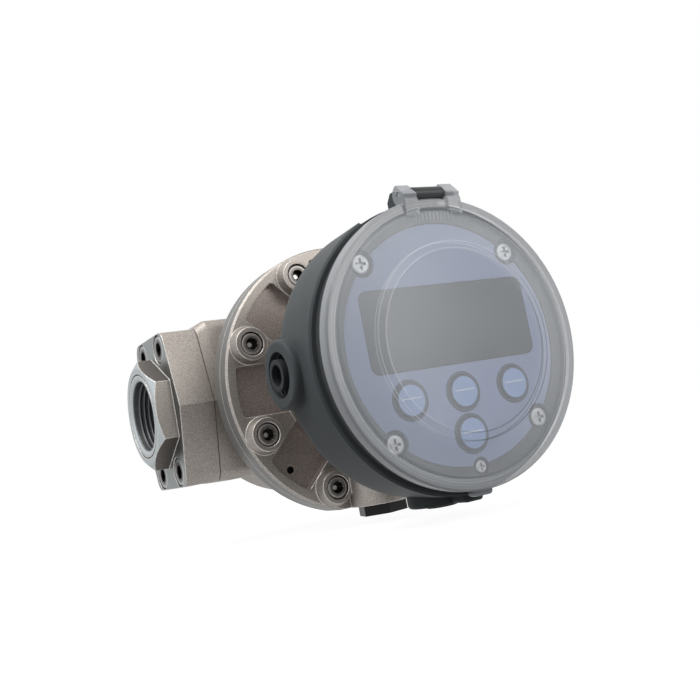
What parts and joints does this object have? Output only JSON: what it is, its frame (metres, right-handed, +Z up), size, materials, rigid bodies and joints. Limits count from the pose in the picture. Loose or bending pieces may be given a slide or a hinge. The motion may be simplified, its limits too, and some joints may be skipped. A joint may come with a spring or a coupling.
{
  "type": "oval gear flow meter",
  "caption": "Inline flow meter: cast body and bolted cap round a meshed pair of oval gears, threaded pipe adaptors and a round dial register with keys under a hinged clear lid.",
  "frame": {"origin": "centre of the inlet port, where its full thread begins behind the lead-in chamfer", "axes": "+X along the pipe from inlet to outlet, the dial faces -Y, +Z up"},
  "size_m": [0.1726, 0.1803, 0.1292],
  "materials": {
    "cast_steel": "cast stainless steel, fine blasted grain with machined edges",
    "screw_steel": "bright stainless steel",
    "gear_steel": "machined stainless steel",
    "bush_carbon": "black bearing polymer",
    "magnet": "plated magnet",
    "seal_rubber": "black rubber",
    "housing_plastic": "dark slate grey glass-filled plastic",
    "bezel_plastic": "dark grey plastic",
    "plug_plastic": "black plastic",
    "grey_plug": "dark grey plastic",
    "lid_clear": "clear moulded plastic, slightly milky",
    "facia": "lavender blue printed plate",
    "window": "mid grey display window",
    "lcd": "liquid crystal display module",
    "key_blue": "light blue moulded key",
    "key_mat": "dark grey membrane",
    "board": "green circuit board",
    "battery": "wrapped cells in a tray",
    "terminal": "green terminal block"
  },
  "bodies": {
    "meter": {"measuring_body": "cast_steel", "body_cap": "cast_steel", "cap_oring": "seal_rubber", "cap_screws": "screw_steel", "cap_conduit_plug": "plug_plastic", "pulse_sensor_board": "board", "outlet_adaptor": "cast_steel", "inlet_adaptor": "cast_steel", "outlet_adaptor_screws": "screw_steel", "inlet_adaptor_screws": "screw_steel", "outlet_oring": "seal_rubber", "inlet_oring": "seal_rubber", "lower_gear_shaft": "gear_steel", "upper_gear_shaft": "gear_steel", "neck_gasket": "seal_rubber", "neck_screws": "screw_steel", "register_neck": "housing_plastic", "register_housing": "housing_plastic", "register_pillars": "housing_plastic", "left_conduit_plug": "grey_plug", "right_conduit_plug": "grey_plug", "bottom_conduit_plug": "grey_plug", "housing_gasket": "seal_rubber", "circuit_board": "board", "board_screws": "screw_steel", "battery_pack": "battery", "terminal_block": "terminal", "bezel_ring": "bezel_plastic", "bezel_screws": "screw_steel", "seal_screw": "screw_steel", "facia_plate": "facia", "display_window": "window", "lcd_module": "lcd", "key_seal": "key_mat", "hinge_pin": "screw_steel"},
    "lower_gear": {"lower_oval_gear": "gear_steel", "lower_gear_bush": "bush_carbon"},
    "upper_gear": {"upper_oval_gear": "gear_steel", "upper_gear_bush": "bush_carbon", "gear_magnets": "magnet"},
    "lid": {"lid": "lid_clear"},
    "key_left": {"key_left": "key_blue"},
    "key_centre": {"key_centre": "key_blue"},
    "key_right": {"key_right": "key_blue"},
    "key_lower": {"key_lower": "key_blue"}
  },
  "joints": [
    {"name": "lid_hinge", "type": "hinge", "parent": "meter", "child": "lid", "pos_m": [0.0843, -0.1416, 0.0604], "axis": [-1, 0, 0], "range_deg": [0, 165]},
    {"name": "lower_gear_spin", "type": "hinge", "parent": "meter", "child": "lower_gear", "pos_m": [0.0843, -0.0287, -0.01905], "axis": [0, 1, 0], "continuous": true},
    {"name": "upper_gear_spin", "type": "hinge", "parent": "meter", "child": "upper_gear", "pos_m": [0.0843, -0.0287, 0.01905], "axis": [0, 1, 0], "continuous": true},
    {"name": "key_left_press", "type": "slide", "parent": "meter", "child": "key_left", "axis": [0, 1, 0], "range_m": [0, 0.0008], "stiffness_N_per_m": 1200, "springref_m": -0.0004},
    {"name": "key_centre_press", "type": "slide", "parent": "meter", "child": "key_centre", "axis": [0, 1, 0], "range_m": [0, 0.0008], "stiffness_N_per_m": 1200, "springref_m": -0.0004},
    {"name": "key_right_press", "type": "slide", "parent": "meter", "child": "key_right", "axis": [0, 1, 0], "range_m": [0, 0.0008], "stiffness_N_per_m": 1200, "springref_m": -0.0004},
    {"name": "key_lower_press", "type": "slide", "parent": "meter", "child": "key_lower", "axis": [0, 1, 0], "range_m": [0, 0.0008], "stiffness_N_per_m": 1200, "springref_m": -0.0004}
  ],
  "couplings": [
    {"joint": "upper_gear_spin", "follows": "lower_gear_spin", "ratio": -1}
  ]
}
